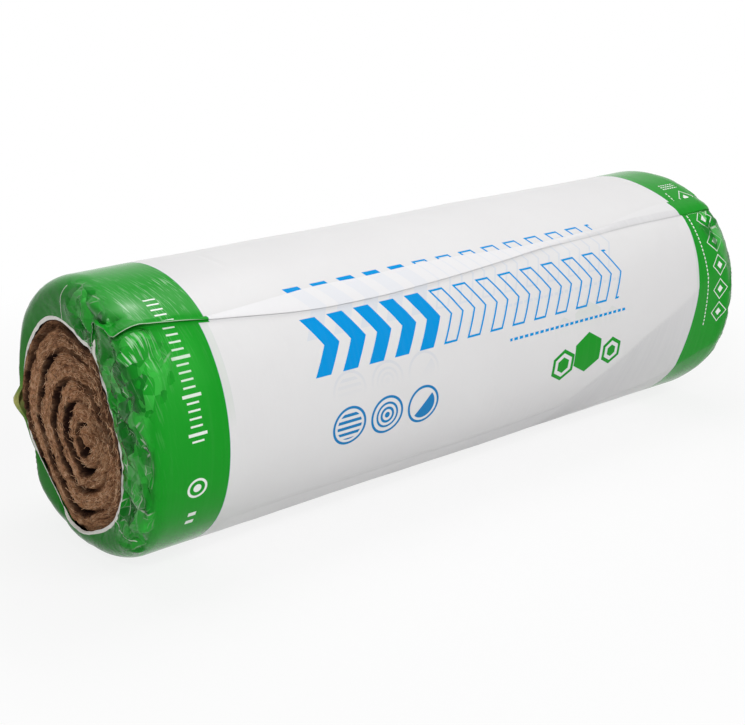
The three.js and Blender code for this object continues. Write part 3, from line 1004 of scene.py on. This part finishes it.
class MatSettings(bpy.types.PropertyGroup):
    """Sizes and colours of the coiled wool mat."""

    bulge: length_setting("Bulge", "How far each turn's edge stands out between its gaps", 5 * MM)
    gap_depth: length_setting("Gap depth", "Depth of the gaps between turns", 18 * MM)
    gap_width: length_setting("Gap width", "Half width of the gaps between turns", 4.8 * MM)
    wool: colour_setting("Wool", "Main colour of the wool", (0.62, 0.305, 0.155))
    wool_light: colour_setting("Wool, light", "Colour of the lightest fibres", (0.90, 0.60, 0.38))
    # Also the colour of the painted shade in the gaps, on the shaded side and behind the rim.
    wool_dark: colour_setting("Wool, dark", "Colour deep between the turns", (0.024, 0.010, 0.008))
    fibres: IntProperty(name="Fibres", description="Loose fibres on each end, about", default=2600, min=0)
    fibre_length: length_setting("Fibre length", "Usual length of a loose fibre", 16 * MM)
    fibre_thickness: length_setting("Fibre thickness", "Half thickness of a tuft of fibres", 0.32 * MM)
    seed: IntProperty(name="Seed", description="Seed of the wool's surface", default=11)


def wool_material(settings):
    """Matted glass fibre: clumps, fine strands and painted shade in the gaps and on the shaded side."""
    material, tree, shader = new_material("glass_wool")
    solid = node(tree, "ShaderNodeTexCoord").outputs["Object"]
    coil = node(tree, "ShaderNodeUVMap", uv_map="coil").outputs[0]
    strand = noise_value(tree, scaled_place(tree, coil, (1.0, 3.2, 1.0)), 105.0, 6.0, 0.74, 1.2)
    clump = noise_value(tree, solid, 45.0, 5.0, 0.65)
    fleck = noise_value(tree, solid, 240.0, 3.0, 0.6, 2.5)
    tone = strand + clump * 0.6 + fleck * 0.5
    colour = blend_colour(tree, tone.rising(1.07, 5.5), settings.wool, settings.wool_light)
    colour = blend_colour(tree, tone.falling(1.03, 7.0) * 0.8, colour, settings.wool_dark)
    # The gap attribute is painted shade.
    colour = blend_colour(tree, attribute_value(tree, "gap"), colour, settings.wool_dark)
    tree.links.new(colour, shader.inputs["Base Color"])
    shader.inputs["Roughness"].default_value = 0.95
    shader.inputs["Specular IOR Level"].default_value = 0.05
    relief = node(tree, "ShaderNodeBump", {
        "Height": strand + fleck * 0.6, "Distance": 4 * MM, "Strength": 0.9})
    tree.links.new(relief.outputs[0], shader.inputs["Normal"])
    return material


TURN_PITCH = 0.035         # in the coordinates of the wool's pattern
# How many turns lie within each share of the way from the coil's centre to the opening.
TURN_PLACES = ((0, 0), (0.12, 1), (0.30, 2), (0.49, 3), (0.72, 4), (0.93, 5), (1.06, 6), (1.15, 6.7))


def coil_face(settings, side):
    """One end of the mat, in rings round the coil's centre.

    Returns the points, the coil's coordinates, the painted shade and how fuzzy each is, and the turn's
    direction."""
    spread = np.concatenate([np.linspace(0.004, 1.0, 132), np.linspace(1.0, 1.13, 10)[1:]])
    angle = np.arange(0, 360, 1.2)
    share, around = np.meshgrid(spread, angle, indexing="ij")
    centre = np.array(COIL_CENTRE)
    way = np.stack([np.cos(np.radians(around)), np.sin(np.radians(around))], -1)
    rim = way * rim_distance(around, side)[..., None]
    flat = centre + rim * share[..., None]
    spot = np.stack([np.full_like(share, side * 0.4), flat[..., 0], flat[..., 1]], -1)
    away = np.linalg.norm(rim, axis=-1) * share

    # The turn that each point lies on, and how far it is from the gap between two turns.
    tight = tightness(around)
    wander = 0.13 * perlin(spot, 0.06, 21) + 0.06 * perlin(spot, 0.02, 22)
    places = curve_through(TURN_PLACES, share)
    count = places - around / 360 + 0.38 * np.sin(np.radians(around)) + wander
    count -= 0.12 * (1 - np.cos(np.radians(2 * around))) * smooth(share, 0, 0.3)
    inside = count - np.floor(count)
    turns_each = np.maximum(np.gradient(places, axis=0), 1e-6)
    turn_width = np.linalg.norm(rim, axis=-1) * np.gradient(spread)[:, None] / turns_each
    turn_width = np.maximum(turn_width, 4 * MM)
    swollen = mix(0.12, 1.0, 1 - smooth(np.abs(turned(around, SWOLLEN_SIDE)), 50, 86))
    off_gap = np.minimum(inside, 1 - inside) * turn_width
    open_gap = np.clip(0.95 + 0.5 * perlin(spot, 0.032, 23), 0.3, 1.2) * mix(0.22, 1, swollen)
    width = settings.gap_width * mix(0.3, 1.2, open_gap) * smooth(share, 0.02, 0.15)
    ragged = 1 + 0.35 * perlin(spot, 0.02, 29) + 0.45 * perlin(spot, 0.007, 27)
    away_from_gap = off_gap * ragged / np.maximum(width, 1e-5)
    closed = smooth(share, 0.86, 0.93) * bump_at(turned(around, UNDERSIDE), 0, 50)
    gap = np.exp(-(away_from_gap**4)) * smooth(share, 0.03, 0.1) * (1 - closed)
    layer = np.abs(inside - 0.45 + 0.10 * perlin(spot, 0.03, 24)) * turn_width
    seam = np.exp(-((layer / (1.3 * MM)) ** 2)) * smooth(perlin(spot, 0.05, 25), -0.2, 0.4)
    fine = (count * 4.6 + 0.5 * perlin(spot, 0.03, 28)) % 1
    thin_layers = np.exp(-((np.minimum(fine, 1 - fine) / 0.13) ** 2)) * (1 - 0.7 * swollen)

    # The relief of the turns, their gaps and layers, and how far the face is set back.
    rounding = np.sqrt(np.maximum(1 - np.abs(2 * inside - 1) ** 4, 0))
    depth = settings.bulge * swollen * rounding * smooth(share, 0, 0.2)
    depth += 3 * MM * perlin(np.stack([np.floor(count), around / 60, 0 * share], -1), 1.0, 26)
    depth -= settings.gap_depth * gap * mix(0.25, 1, open_gap) * mix(0.4, 1, swollen)
    depth -= 3 * MM * seam + 1.6 * MM * thin_layers
    drawn = np.stack([np.radians(around) * away * 0.45, count * TURN_PITCH, side * 0.3 + 0 * share], -1)
    for size, height, seed in ((0.016, 3.4, 31), (0.007, 3.2, 32), (0.0035, 2.0, 33)):
        depth += height * MM * perlin(drawn, size, seed) * 0.6
        depth += height * MM * perlin(spot, size, seed + 5) * 0.6
    recess = mix(-1 * MM, 14 * MM, tight * smooth(share, 0.05, 0.9)) + 2 * MM * smooth(share, 0.96, 1.02)
    recess += 8 * MM * smooth(share, 0.9, 1.0) * tight + 9 * MM * smooth(share, 0.99, 1.08)
    axial = HALF_LENGTH - 5 * MM - recess + depth * (1 - 0.8 * smooth(share, 0.98, 1.04)) - 5 * MM
    axial = np.minimum(axial, under_film(flat, side) - 6 * MM)
    points = np.stack([side * axial, flat[..., 0], flat[..., 1] + AXIS_Z], -1)
    coil = np.stack([np.radians(around) * away, count * TURN_PITCH], -1)

    # Painted shade: darker in the gaps, along the seams and fine layers, at the foot of the shaded side,
    # and behind the rim where the film's shadow falls.
    behind_rim = mix(smooth(share, 1.0, 1.05), smooth(share, 0.78, 0.88), tight**2)
    deep = np.exp(-((away_from_gap / 1.55) ** 4)) * smooth(share, 0.03, 0.1) * (1 - closed)
    shaded = smooth(0.7 * perlin(spot, 0.045, 34) - np.cos(np.radians(around + 40)) * share, -0.25, 0.7)
    dark = 0.55 * shaded + 1.15 * deep * mix(0.2, 1, open_gap * swollen) + 0.35 * seam + 0.3 * thin_layers
    dark = np.clip(dark + behind_rim, 0, 1)
    fuzz = (1 - smooth(deep, 0.1, 0.5)) * (1 - smooth(share, 0.84, 0.90))
    step = np.gradient(points, axis=1)
    grain = step / np.maximum(np.linalg.norm(step, axis=-1, keepdims=True), 1e-9)
    return points, coil, dark, fuzz, grain


def under_film(flat, side):
    """How far out along the roll the film lies over each place on its end, and the roll's end elsewhere."""
    column = np.round(np.degrees(np.arctan2(flat[..., 1], flat[..., 0]))).astype(int) % 360
    away = np.hypot(flat[..., 0], flat[..., 1])
    angle, inward = np.meshgrid(np.arange(360.0), np.linspace(0, 1, 80))
    axial, radial = roll_profile(angle, inward, side)[:2]
    limit = np.full_like(away, HALF_LENGTH)
    for k in range(360):
        here = column == k
        limit[here] = np.interp(-away[here], -radial[:, k], axial[:, k], right=HALF_LENGTH)
    return limit


def rim_distance(angle, side):
    """How far the opening's edge is from the coil's centre, in a direction from there."""
    round_axis = np.arange(0, 360, 0.5)
    radius = end_value("opening", round_axis, side) + 1 * MM
    y = radius * np.cos(np.radians(round_axis)) - COIL_CENTRE[0]
    z = radius * np.sin(np.radians(round_axis)) - COIL_CENTRE[1]
    seen = np.degrees(np.arctan2(z, y)) % 360
    order = np.argsort(seen)
    return np.interp(angle % 360, seen[order], np.hypot(y, z)[order], period=360)


def wool_coil(settings):
    """The whole mat: both end faces, joined under the wrapper."""
    near, far = coil_face(settings, -1), coil_face(settings, 1)
    edge = near[0][-1]
    around = np.arctan2(edge[:, 2] - AXIS_Z, edge[:, 1])
    radial = RADIUS - 13 * MM
    y, z = radial * np.cos(around), radial * np.sin(around) + AXIS_Z
    hidden = np.stack([
        np.stack([np.full_like(around, axial), y, z], -1)
        for axial in (55 * MM - HALF_LENGTH, HALF_LENGTH - 55 * MM)])
    joined = [np.concatenate([near[0], hidden, far[0][::-1]])]
    for near_values, far_values in zip(near[1:], far[1:]):
        between = np.zeros((2, *near_values.shape[1:]))
        joined.append(np.concatenate([near_values, between, far_values[::-1]]))
    return joined


def fibre_tree(material):
    """Geometry nodes that scatter short bent fibres over the mat's ends, along its turns."""
    tree = bpy.data.node_groups.new("loose_fibres", "GeometryNodeTree")
    face = tree.interface
    face.new_socket("Mat", in_out="INPUT", socket_type="NodeSocketGeometry")
    for name, value in (
            ("Density", 1.0), ("Length", 0.02), ("Thickness", 0.0004), ("Bend", 0.004), ("Stand", 0.001)):
        socket = face.new_socket(name, in_out="INPUT", socket_type="NodeSocketFloat")
        socket.default_value = value
    face.new_socket("Seed", in_out="INPUT", socket_type="NodeSocketInt")
    face.new_socket("Fibres", in_out="OUTPUT", socket_type="NodeSocketGeometry")
    entry = tree.nodes.new("NodeGroupInput").outputs
    leave = tree.nodes.new("NodeGroupOutput")

    def attribute(name, kind):
        made = node(tree, "GeometryNodeInputNamedAttribute", {"Name": name}, data_type=kind)
        return made.outputs["Attribute"]

    # Places on the mat, and for each a fibre that lies along the turn, with some stray.
    fuzz = Value(tree, attribute("fuzz", "FLOAT")) * Value(tree, entry["Density"])
    spots = node(tree, "GeometryNodeDistributePointsOnFaces", {
        "Mesh": entry["Mat"], "Density": fuzz, "Seed": entry["Seed"]})
    stray = node(tree, "FunctionNodeRandomValue", {"Min": (-1, -1, -1), "Max": (1, 1, 1), "Seed": 5},
                 data_type="FLOAT_VECTOR").outputs["Value"]
    stray = vector_math(tree, "SCALE", stray, 0.45)
    way = vector_math(tree, "ADD", attribute("grain", "FLOAT_VECTOR"), stray)
    facing = node(tree, "FunctionNodeAlignRotationToVector", {"Vector": way}, axis="X")
    straight = node(tree, "GeometryNodeCurvePrimitiveLine", {"Start": (-0.5, 0, 0), "End": (0.5, 0, 0)})
    strand = node(tree, "GeometryNodeResampleCurve", {"Curve": straight.outputs[0], "Count": 4})
    long = node(tree, "FunctionNodeRandomValue", {"Min": 0.35, "Max": 1.5, "Seed": 9}, data_type="FLOAT")
    size = Value(tree, [s for s in long.outputs if s.enabled][0]) * Value(tree, entry["Length"])
    placed = node(tree, "GeometryNodeInstanceOnPoints", {
        "Points": spots.outputs["Points"], "Instance": strand.outputs[0], "Rotation": facing.outputs[0],
        "Scale": size})
    curves = node(tree, "GeometryNodeRealizeInstances", {0: placed.outputs[0]})

    # The fibres bend, stand a little off the mat and are made solid.
    where = node(tree, "GeometryNodeInputPosition").outputs[0]
    wave = node(tree, "ShaderNodeTexNoise", {"Vector": where, "Scale": 95.0, "Detail": 1.0})
    wave = vector_math(tree, "SUBTRACT", wave.outputs["Color"], (0.5, 0.5, 0.5))
    wave = vector_math(tree, "SCALE", wave, entry["Bend"])
    outward = Value(tree, node(tree, "ShaderNodeSeparateXYZ", {0: where}).outputs[0])
    lift = node(tree, "ShaderNodeCombineXYZ", {0: outward.math("SIGN") * Value(tree, entry["Stand"])})
    offset = vector_math(tree, "ADD", wave, lift.outputs[0])
    bent = node(tree, "GeometryNodeSetPosition", {"Geometry": curves.outputs[0], "Offset": offset})
    section = node(tree, "GeometryNodeCurvePrimitiveCircle", {
        "Resolution": 3, "Radius": entry["Thickness"]})
    solid = node(tree, "GeometryNodeCurveToMesh", {
        "Curve": bent.outputs[0], "Profile Curve": section.outputs[0], "Fill Caps": True})
    whole = node(tree, "GeometryNodeRealizeInstances", {0: solid.outputs[0]})
    dressed = node(tree, "GeometryNodeSetMaterial", {"Geometry": whole.outputs[0], "Material": material})
    tree.links.new(dressed.outputs[0], leave.inputs[0])
    return tree


def fibre_material(settings):
    """Single glass fibres, lighter and darker than the mat."""
    material, tree, shader = new_material("loose_fibre")
    solid = node(tree, "ShaderNodeTexCoord").outputs["Object"]
    mixed = noise_value(tree, solid, 150.0, 2.0)
    colour = blend_colour(tree, mixed.rising(0.42, 5.0), settings.wool, settings.wool_light)
    colour = blend_colour(tree, mixed.falling(0.47, 8.0) * 0.7, colour, settings.wool_dark)
    tree.links.new(colour, shader.inputs["Base Color"])
    shader.inputs["Roughness"].default_value = 0.6
    shader.inputs["Specular IOR Level"].default_value = 0.2
    return material


MAT_RADIUS = 145 * MM      # of the mat's end that shows, on average
FUZZY_SHARE = 0.75         # of its area that carries fibres
FIBRE_BEND = 7 * MM
FIBRE_STAND = 0.6 * MM


def loose_fibres(mat, settings):
    """The fibres as a plain mesh, made by the nodes on the mat."""
    tree = fibre_tree(fibre_material(settings))
    carrier = add_object("fibre_carrier", mat.data)
    modifier = carrier.modifiers.new("fibres", "NODES")
    modifier.node_group = tree
    area = 2 * math.pi * MAT_RADIUS**2 * FUZZY_SHARE
    values = {
        "Density": settings.fibres * 2 / area, "Length": settings.fibre_length,
        "Thickness": settings.fibre_thickness, "Bend": FIBRE_BEND, "Stand": FIBRE_STAND,
        "Seed": settings.seed}
    for item in tree.interface.items_tree:
        if item.in_out == "INPUT" and item.name in values:
            modifier[item.identifier] = values[item.name]
    bpy.context.view_layer.update()
    made = carrier.evaluated_get(bpy.context.evaluated_depsgraph_get())
    mesh = bpy.data.meshes.new_from_object(made)
    mesh.name = "wool_fibres"
    bpy.data.objects.remove(carrier)
    if not mesh.polygons:
        raise RuntimeError("no fibres were made")
    return add_object("wool_fibres", mesh)


class ROLL_OT_wool(bpy.types.Operator):
    """Make the coiled wool mat and the loose fibres on its ends"""

    bl_idname = "roll.wool"
    bl_label = "Wool Mat"

    def execute(self, context):
        settings = context.scene.roll_mat
        points, coil, dark, fuzz, grain = wool_coil(settings)
        # dark is the mat's painted shade, stored as its gap attribute.
        piece = mesh_object("wool_coil", points, wool_material(settings), closed_across=True,
                            uvs={"coil": coil}, attributes={"gap": dark, "fuzz": fuzz})
        layer = piece.data.attributes.new("grain", "FLOAT_VECTOR", "POINT")
        layer.data.foreach_set("vector", grain.astype(np.float32).ravel())
        finish_piece(piece, "wool", "wool_mat")
        finish_piece(loose_fibres(piece, settings), "wool")
        return {"FINISHED"}


# ---------------------------------------------------------------- stage


class StageSettings(bpy.types.PropertyGroup):
    """Floor, lights and camera."""

    floor: colour_setting("Floor", "Colour of the floor", (0.80, 0.80, 0.80))
    shadow: factor_setting("Shadow", "How much of the floor's shading the camera sees", 0.16)
    sky: FloatProperty(name="Sky", description="Strength of the even light", default=0.31, min=0)
    key: power_setting("Key", "Power of the wide lamp above", 20.3)
    glint: power_setting("Glint", "Power of the small lamp above", 3.5)
    front: power_setting("Front", "Power of the lamp in front", 36)
    side: power_setting("Side", "Power of the small lamp at the near end", 18)
    azimuth: FloatProperty(
        name="Azimuth", description="Where the camera stands round the roll", default=math.radians(-39.88),
        subtype="ANGLE")
    elevation: FloatProperty(
        name="Elevation", description="Height of the camera's view", default=math.radians(18.53),
        subtype="ANGLE")
    distance: length_setting("Distance", "From the camera to its target", 2.2143)
    lens: FloatProperty(name="Lens", description="Focal length", default=68.03, subtype="DISTANCE_CAMERA")


# Each lamp's place, the point that it faces, and its size.
LAMPS = {
    "key": ((0.1, 0.5, 2.3), (0, 0, 0.2), (2.2, 1.5)),
    "glint": ((0.34, 0.27, 1.95), (-0.5, 0, 0.3), (0.9, 0.06)),
    "front": ((0.3, -2.4, 2.0), (0, 0, 0.2), (1.6, 1.2)),
    "side": ((-1.75, -1.75, 1.7), (-0.5, 0, 0.2), (0.2, 0.2)),
}
CAMERA_TARGET = Vector((-0.0756, 0.0, 0.17145))
FLOOR_REACH = 40.0


def turned_to(way):
    """The rotation of a lamp or camera that looks that way."""
    return way.to_track_quat("-Z", "Y").to_euler()


def area_lamp(name, power):
    place, target, size = LAMPS[name]
    lamp = bpy.data.lights.new(name, "AREA")
    lamp.shape = "RECTANGLE"
    lamp.size, lamp.size_y = size
    lamp.energy = power
    rig = add_object(name, lamp)
    rig.location = place
    rig.rotation_euler = turned_to(Vector(target) - Vector(place))
    return rig


def direct_ray(tree):
    """1 for what the camera sees by itself, in a mirror or through glass."""
    path = node(tree, "ShaderNodeLightPath")
    seen = Value(tree, path.outputs["Is Camera Ray"])
    for ray in ("Is Glossy Ray", "Is Transmission Ray"):
        seen = seen.highest(Value(tree, path.outputs[ray]))
    return seen


def studio_world(settings):
    """Even light, a little weaker from below, and a white background for what is seen directly."""
    world = bpy.data.worlds.new("studio")
    tree = empty_tree(world)
    way = node(tree, "ShaderNodeSeparateXYZ", {0: node(tree, "ShaderNodeTexCoord").outputs["Generated"]})
    sky = node(tree, "ShaderNodeMapRange", {
        "Value": way.outputs[0], "From Min": -0.8, "From Max": 0.6,
        "To Min": settings.sky * 0.7, "To Max": settings.sky})
    even = node(tree, "ShaderNodeBackground", {"Color": (1, 1, 1, 1), "Strength": sky.outputs[0]})
    white = node(tree, "ShaderNodeBackground", {"Color": (1, 1, 1, 1), "Strength": 1.0})
    both = node(tree, "ShaderNodeMixShader", {
        0: direct_ray(tree), 1: even.outputs[0], 2: white.outputs[0]})
    node(tree, "ShaderNodeOutputWorld", {"Surface": both.outputs[0]})
    return world


def studio_floor(settings):
    """A wide pale floor that fades to the background's white away from the roll, and keeps its shadow."""
    material = bpy.data.materials.new("floor_pale")
    tree = empty_tree(material)
    solid = node(tree, "ShaderNodeTexCoord").outputs["Object"]
    away = node(tree, "ShaderNodeVectorMath", {0: solid}, operation="LENGTH").outputs["Value"]
    fade = node(tree, "ShaderNodeMapRange", {
        "Value": away, "From Min": 0.7, "From Max": 1.35,
        "To Min": 1 - settings.shadow, "To Max": 1.0}, interpolation_type="SMOOTHSTEP")
    matt = node(tree, "ShaderNodeBsdfDiffuse", {"Color": (*settings.floor, 1)})
    white = node(tree, "ShaderNodeEmission", {"Color": (1, 1, 1, 1), "Strength": 1.0})
    share = direct_ray(tree) * Value(tree, fade.outputs[0])
    both = node(tree, "ShaderNodeMixShader", {0: share, 1: matt.outputs[0], 2: white.outputs[0]})
    node(tree, "ShaderNodeOutputMaterial", {"Surface": both.outputs[0]})
    corners = [(x * FLOOR_REACH, y * FLOOR_REACH, 0) for x, y in ((-1, -1), (1, -1), (1, 1), (-1, 1))]
    mesh = bpy.data.meshes.new("floor")
    mesh.from_pydata(corners, [], [(0, 1, 2, 3)])
    mesh.materials.append(material)
    floor = add_object("floor", mesh)


class ROLL_OT_stage(bpy.types.Operator):
    """Make the floor, the lights and the camera"""

    bl_idname = "roll.stage"
    bl_label = "Stage"

    def execute(self, context):
        scene, settings = context.scene, context.scene.roll_stage
        scene.world = studio_world(settings)
        studio_floor(settings)
        area_lamp("key", settings.key)
        area_lamp("glint", settings.glint)
        area_lamp("front", settings.front).visible_glossy = False
        area_lamp("side", settings.side)

        camera = bpy.data.cameras.new("camera")
        camera.lens = settings.lens
        camera.sensor_width = 36
        level = math.cos(settings.elevation)
        back = Vector((
            math.sin(settings.azimuth) * level, -math.cos(settings.azimuth) * level,
            math.sin(settings.elevation)))
        rig = add_object("camera", camera)
        rig.location = CAMERA_TARGET + back * settings.distance
        rig.rotation_euler = turned_to(-back)
        scene.camera = rig
        scene.view_settings.view_transform = "Standard"
        return {"FINISHED"}


class ROLL_PT_panel(bpy.types.Panel):
    """Operators and settings of the roll"""

    bl_idname = "ROLL_PT_panel"
    bl_label = "Insulation Roll"
    bl_space_type = "VIEW_3D"
    bl_region_type = "UI"
    bl_category = "Roll"

    def draw(self, context):
        scene = context.scene
        for operator, settings in (
            (ROLL_OT_wool, scene.roll_mat),
            (ROLL_OT_wrapper, scene.roll_wrapper),
            (ROLL_OT_stage, scene.roll_stage),
        ):
            box = self.layout.box()
            box.operator(operator.bl_idname)
            for key in settings.__annotations__:
                box.prop(settings, key)


CLASSES = (
    WrapperSettings,
    MatSettings,
    StageSettings,
    ROLL_OT_wool,
    ROLL_OT_wrapper,
    ROLL_OT_stage,
    ROLL_PT_panel,
)


def register():
    for item in CLASSES:
        bpy.utils.register_class(item)
    bpy.types.Scene.roll_wrapper = PointerProperty(type=WrapperSettings)
    bpy.types.Scene.roll_mat = PointerProperty(type=MatSettings)
    bpy.types.Scene.roll_stage = PointerProperty(type=StageSettings)


def unregister():
    del bpy.types.Scene.roll_wrapper
    del bpy.types.Scene.roll_mat
    del bpy.types.Scene.roll_stage
    for item in reversed(CLASSES):
        bpy.utils.unregister_class(item)


def main():
    register()
    bpy.ops.roll.wool()
    bpy.ops.roll.wrapper()
    bpy.ops.roll.stage()


if __name__ == "__main__":
    main()
